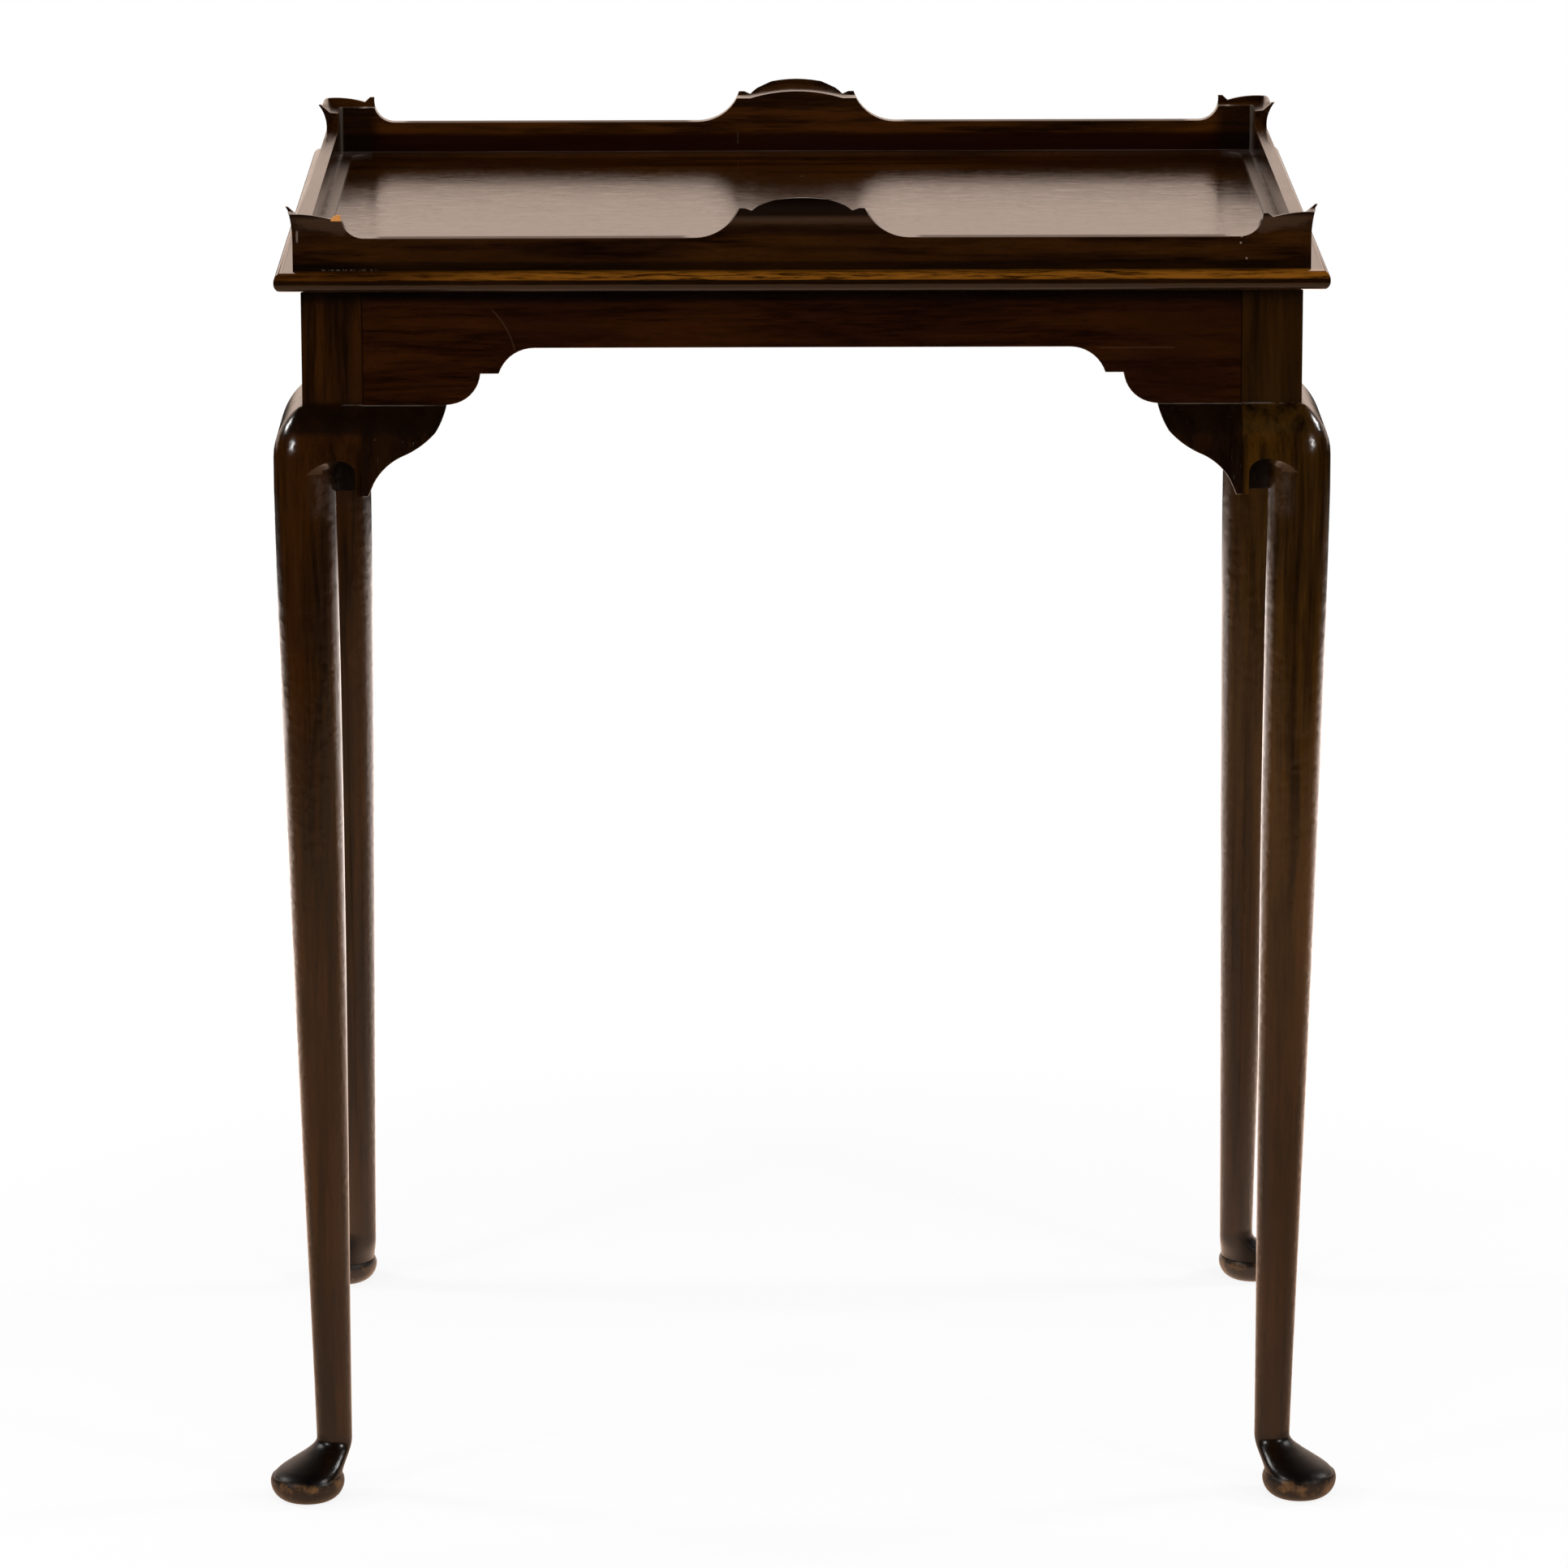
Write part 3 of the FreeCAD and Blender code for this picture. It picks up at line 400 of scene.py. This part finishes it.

# the legs: painted shadow under the board, darker shoulders under a dusty ledge, golden knees at the right,
# feet rubbed round their rims
leg = {
    "slot": "leg",
    "edge": fineEdge,
    "wood": {
        "name": "leg mahogany", "grain": "tall", "swayScale": 7.0, "sway": 0.004,
        "dark": tone(12, 4, 0), "middle": tone(30, 13, 0), "light": tone(58, 28, 2),
        "stain": tone(28, 10, 1), "rubbed": tone(76, 46, 18), "rubShare": 0.5,
        "figureScale": 110.0, "figureShare": 0.55, "streakScale": 420.0, "poreScale": 1300.0,
        "poreShare": 0.6, "patchScale": 16.0, "patchShare": 0.4, "rough": 0.14, "bump": 0.08, "gloss": 1.5,
        "marks": [
            # painted shadow under the board, and a darker band under the ledge
            {"within": {"z": (0.6352, 0.645, 0.004)}, "tone": shadow, "share": 0.7},
            {"within": {"z": (0.5690, 0.5790, 0.004)}, "tone": dirtAndShade, "share": 0.75},
            # the right legs: golden knees and shanks, darker posts
            {"within": {"z": (0.34, 0.5600, 0.14), "x": (0.0, 0.3, 0.01)}, "tone": tone(68, 43, 4),
             "share": 0.45, "mottle": (110.0, 0.30, 0.62)},
            {"within": {"z": (0.5802, 0.6450, 0.001), "x": (0.0, 0.3, 0.01)}, "tone": tone(28, 13, 2),
             "share": 0.5},
            # dust on the ledge
            {"within": {"z": (0.5798, 0.5802, 0.0003)}, "tone": dust, "share": 0.3, "rough": 0.5,
             "mottle": (60.0, 0.40, 0.60)},
            # painted shade in the hollows under the knee, and beside them a grey smudge, partly dust and
            # partly a painted sheen
            {"within": {"across": (0.2226, 0.2372, 0.001), "deep": (0.15, 0.2068, 0.0006),
                        "z": (0.5250, 0.5560, 0.002)},
             "tone": tone(14, 6, 3), "share": 0.9, "rough": 0.24},
            {"within": {"deep": (0.1616, 0.1762, 0.001), "across": (0.21, 0.2678, 0.0006),
                        "z": (0.5250, 0.5560, 0.002)},
             "tone": tone(14, 6, 3), "share": 0.9, "rough": 0.24},
            {"within": {"across": (0.2400, 0.2450, 0.008), "deep": (0.190, 0.212, 0.006),
                        "z": (0.5300, 0.5420, 0.012)},
             "tone": tone(74, 58, 48), "share": 0.3, "rough": 0.35, "blotch": (260.0, 0.30, 0.66)},
            # the feet: dark insteps, dull outside, painted shade low on the rim, and gold rubbed into the
            # rim
            {"within": {"z": (0.0130, 0.0270, 0.005)}, "tone": dirtAndShade, "share": 0.8, "rough": 0.24},
            {"within": {"z": (0.0130, 0.0300, 0.003), "across": (0.2560, 0.30, 0.010)}, "tone": dirtAndShade,
             "share": 0.7, "rough": 0.34, "dull": 0.8},
            {"within": {"z": (0.0, 0.0120, 0.001)}, "tone": dirtAndShade, "share": 0.7, "rough": 0.35},
            {"within": {"z": (0.0050, 0.0110, 0.0025)}, "tone": tone(118, 80, 36), "share": 0.6,
             "blotch": (130.0, 0.46, 0.66)},
        ],
    },
}
corners = ("front_left", "front_right", "back_right", "back_left")
legFinish = woodFinish(leg["wood"])
for corner in corners:
    dress(leg, "leg_" + corner, legFinish)

# the brackets beside the knees, darker and speckled with old polish
bracket = {
    "slot": "bracket",
    "edge": fineEdge,
    "wood": {
        **leg["wood"], "name": "bracket mahogany",
        "dark": tone(10, 3, 1), "middle": tone(22, 9, 2), "light": tone(40, 20, 3), "stain": tone(18, 6, 1),
        "marks": [
            {"within": {"z": (0.5690, 0.5790, 0.004)}, "tone": dirtAndShade, "share": 0.6},
            {"within": {"z": (0.5798, 0.5802, 0.0003)}, "tone": dust, "share": 0.5, "rough": 0.5,
             "mottle": (40.0, 0.34, 0.60)},
            {"tone": dust, "share": 0.35, "rough": 0.4, "mottle": (900.0, 0.68, 0.74)},
        ],
    },
}
bracketFinish = woodFinish(bracket["wood"])
for corner in corners:
    for side in corner.split("_"):
        dress(bracket, "knee_bracket_" + corner + "_" + side, bracketFinish)
print("frame dressed")

# the blocks inside the frame
innerWood = {
    "slot": "inner_wood",
    "edge": {**edgeAngles, "width": 0.0008, "steps": 2},
    "wood": {
        "name": "old pine", "grain": "wide", "swayScale": 8.0, "sway": 0.01,
        "dark": tone(112, 76, 42), "middle": tone(150, 108, 64), "light": tone(172, 130, 82),
        "stain": tone(120, 84, 50), "rubbed": tone(180, 140, 90), "rubShare": 0.4,
        "figureScale": 40.0, "figureShare": 0.5, "streakScale": 160.0, "poreScale": 900.0, "poreShare": 0.3,
        "patchScale": 20.0, "patchShare": 0.5, "rough": 0.65, "bump": 0.25, "gloss": 1.45,
    },
}
pineFinish = woodFinish(innerWood["wood"])
for corner in corners:
    dress(innerWood, "corner_block_" + corner, pineFinish)
dress(innerWood, "glue_blocks", pineFinish)

# the screws and pins, old iron, bare where it isn't rusty
iron = {"name": "old iron", "rustScale": 700.0, "bare": tone(120, 116, 110), "rust": tone(74, 46, 30),
        "rough": 0.35, "rustRough": 0.4, "bump": 0.3, "relief": 0.0002}


def ironFinish(metal):
    material = bpy.data.materials.new(metal["name"])
    material.use_nodes = True
    bench = Bench(material.node_tree)
    place = bench.node("ShaderNodeTexCoord", out="Object")
    rust = bench.layer(place, metal["rustScale"], layers["rust"])
    colour = bench.tint(rust, metal["bare"], metal["rust"])
    bump = bench.node("ShaderNodeBump", {}, {"Strength": metal["bump"], "Distance": metal["relief"],
                                             "Height": rust})
    shader = bench.node("ShaderNodeBsdfPrincipled", {},
                        {"Base Color": colour, "Roughness": metal["rough"] + metal["rustRough"] * rust,
                         "Metallic": 1 - rust, "Normal": bump})
    bench.node("ShaderNodeOutputMaterial", {}, {"Surface": shader})
    return material


ironwork = ironFinish(iron)
for name in ("top_screws", "gallery_pins"):
    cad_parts[name].data.materials.clear()
    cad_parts[name].data.materials.append(ironwork)
print("inside dressed")

white = (1.0, 1.0, 1.0, 1.0)

# a floor of white paper: the polish mirrors a pool of light on it, brightest behind the table
room = {"reach": 6.0, "front": -2.1, "back": 7.0, "paper": 0.9,
        "shade": 0.14, "shadeInner": 0.35, "shadeOuter": 0.75,
        "mirrored": 0.68, "warmth": (1.0, 0.56, 0.32, 1.0),
        "behind": 2.30, "behindFrom": -0.3, "behindTo": 1.0, "paleness": (1.0, 0.84, 0.76, 1.0),
        "pool": (0.0, 0.3, 0.0), "poolInner": 1.65, "poolOuter": 2.05}
bm = bmesh.new()
bmesh.ops.create_grid(bm, x_segments=1, y_segments=1, size=1.0)
bmesh.ops.scale(bm, verts=bm.verts, vec=(room["reach"], (room["back"] - room["front"]) / 2, 1.0))
bmesh.ops.translate(bm, verts=bm.verts, vec=(0.0, (room["back"] + room["front"]) / 2, 0.0))
floorMesh = bpy.data.meshes.new("floor")
bm.to_mesh(floorMesh)
bm.free()
floor = bpy.data.objects.new("floor", floorMesh)
scene.collection.objects.link(floor)
paper = bpy.data.materials.new("white paper")
paper.use_nodes = True
bench = Bench(paper.node_tree)
rays = bench.node("ShaderNodeLightPath", out="Is Camera Ray")
mirror = rays.other("Is Glossy Ray")
seen = rays + rays.other("Is Transmission Ray") + mirror
spot = bench.node("ShaderNodeTexCoord", out="Object")
depth = bench.node("ShaderNodeSeparateXYZ", {}, {0: spot}, out="Y")
# the paper shows the table's shade round its feet only
shade = room["shade"] * bench.rise(bench.gap(spot, (0.0, 0.0, 0.0)), room["shadeOuter"], room["shadeInner"])
pool = bench.rise(bench.gap(spot, room["pool"]), room["poolOuter"], room["poolInner"])
behind = bench.rise(depth, room["behindFrom"], room["behindTo"])
level = 1 - mirror * (1 - pool * (room["mirrored"] + room["behind"] * behind))
cast = bench.tint(mirror, white, bench.tint(behind, room["warmth"], room["paleness"]))
lit = bench.node("ShaderNodeVectorMath", {"operation": "SCALE"}, {0: cast, "Scale": level})
glow = bench.node("ShaderNodeEmission", {}, {"Color": lit})
matt = bench.node("ShaderNodeBsdfDiffuse", {}, {"Color": (room["paper"],) * 3 + (1.0,)})
mix = bench.node("ShaderNodeMixShader", {}, {0: seen * (1 - shade), 1: matt, 2: glow})
bench.node("ShaderNodeOutputMaterial", {}, {"Surface": mix})
floorMesh.materials.append(paper)

# white cloth hangs behind, brighter higher up in the middle; the polish mirrors the rest as dark
backdrop = {"ambient": 0.40, "mirrored": 1.05, "warmth": (1.0, 0.78, 0.65, 1.0),
            "clothFrom": 0.45, "clothTo": 0.80, "clothTop": 0.75, "clothFull": 0.50,
            "higher": 1.5, "higherFrom": 0.28, "higherTo": 0.42, "middleFrom": 0.75, "middleTo": 0.88}
scene.world = bpy.data.worlds.new("studio")
scene.world.use_nodes = True
bench = Bench(scene.world.node_tree)
rays = bench.node("ShaderNodeLightPath", out="Is Camera Ray")
mirror = rays.other("Is Glossy Ray")
through = rays.other("Is Transmission Ray")
toward = bench.node("ShaderNodeTexCoord", out="Generated")
way = bench.node("ShaderNodeSeparateXYZ", {}, {0: toward}, out="Y")
up = way.other("Z")
cloth = (bench.rise(way, backdrop["clothFrom"], backdrop["clothTo"])
         * bench.rise(up, backdrop["clothTop"], backdrop["clothFull"]))
higher = (bench.rise(up, backdrop["higherFrom"], backdrop["higherTo"])
          * bench.rise(way, backdrop["middleFrom"], backdrop["middleTo"]))
shine = mirror * (backdrop["mirrored"] + backdrop["higher"] * higher) * cloth
shown = rays + through * (1 - rays)
plain = (1 - rays) * (1 - mirror) * (1 - through)
hue = bench.tint(mirror, white, backdrop["warmth"])
sky = bench.node("ShaderNodeBackground", {},
                 {"Color": hue, "Strength": shown + shine + backdrop["ambient"] * plain})
bench.node("ShaderNodeOutputWorld", {}, {"Surface": sky})

# a pair of lamps at each side and a fill that no polish mirrors
lamps = {
    "left front": {"place": (-1.83, -1.60, 1.19), "wide": 0.35, "tall": 0.45, "power": 14.0, "shows": True},
    "left side": {"place": (-1.88, 0.39, 1.58), "wide": 0.40, "tall": 0.50, "power": 16.0, "shows": True},
    "right front": {"place": (1.83, -1.60, 1.19), "wide": 0.35, "tall": 0.45, "power": 14.0, "shows": True},
    "right side": {"place": (1.88, 0.39, 1.58), "wide": 0.40, "tall": 0.50, "power": 16.0, "shows": True},
    "front fill": {"place": (0.0, -2.0, 2.60), "wide": 1.8, "tall": 0.8, "power": 22.0, "shows": False},
}
lampAim = Vector((0.0, 0.0, 0.50))
for name, lamp in lamps.items():
    light = bpy.data.lights.new(name, "AREA")
    light.shape = "RECTANGLE"
    light.size = lamp["wide"]
    light.size_y = lamp["tall"]
    light.energy = lamp["power"]
    stand = bpy.data.objects.new(name, light)
    stand.location = lamp["place"]
    stand.visible_glossy = lamp["shows"]
    stand.rotation_euler = (lampAim - stand.location).to_track_quat("-Z", "Y").to_euler()
    scene.collection.objects.link(stand)

# the photograph: a long lens, a little above the tray
shot = {"place": (-0.0315, -4.2999, 1.3523), "turn": 0.306, "drop": 13.299, "roll": -0.102,
        "lens": 188.58, "sensor": 36.0, "farthest": 50.0}
turn = math.radians(shot["turn"])
drop = math.radians(shot["drop"])
look = Vector((math.sin(turn) * math.cos(drop), math.cos(turn) * math.cos(drop), -math.sin(drop)))
upright = look.to_track_quat("-Z", "Y").to_matrix()
camera = bpy.data.objects.new("camera", bpy.data.cameras.new("camera"))
camera.data.sensor_width = shot["sensor"]
camera.data.lens = shot["lens"]
camera.data.clip_end = shot["farthest"]
camera.location = shot["place"]
camera.rotation_euler = (upright @ Matrix.Rotation(math.radians(shot["roll"]), 3, "Z")).to_euler()
scene.collection.objects.link(camera)
scene.camera = camera
print("room set")

bpy.context.view_layer.update()
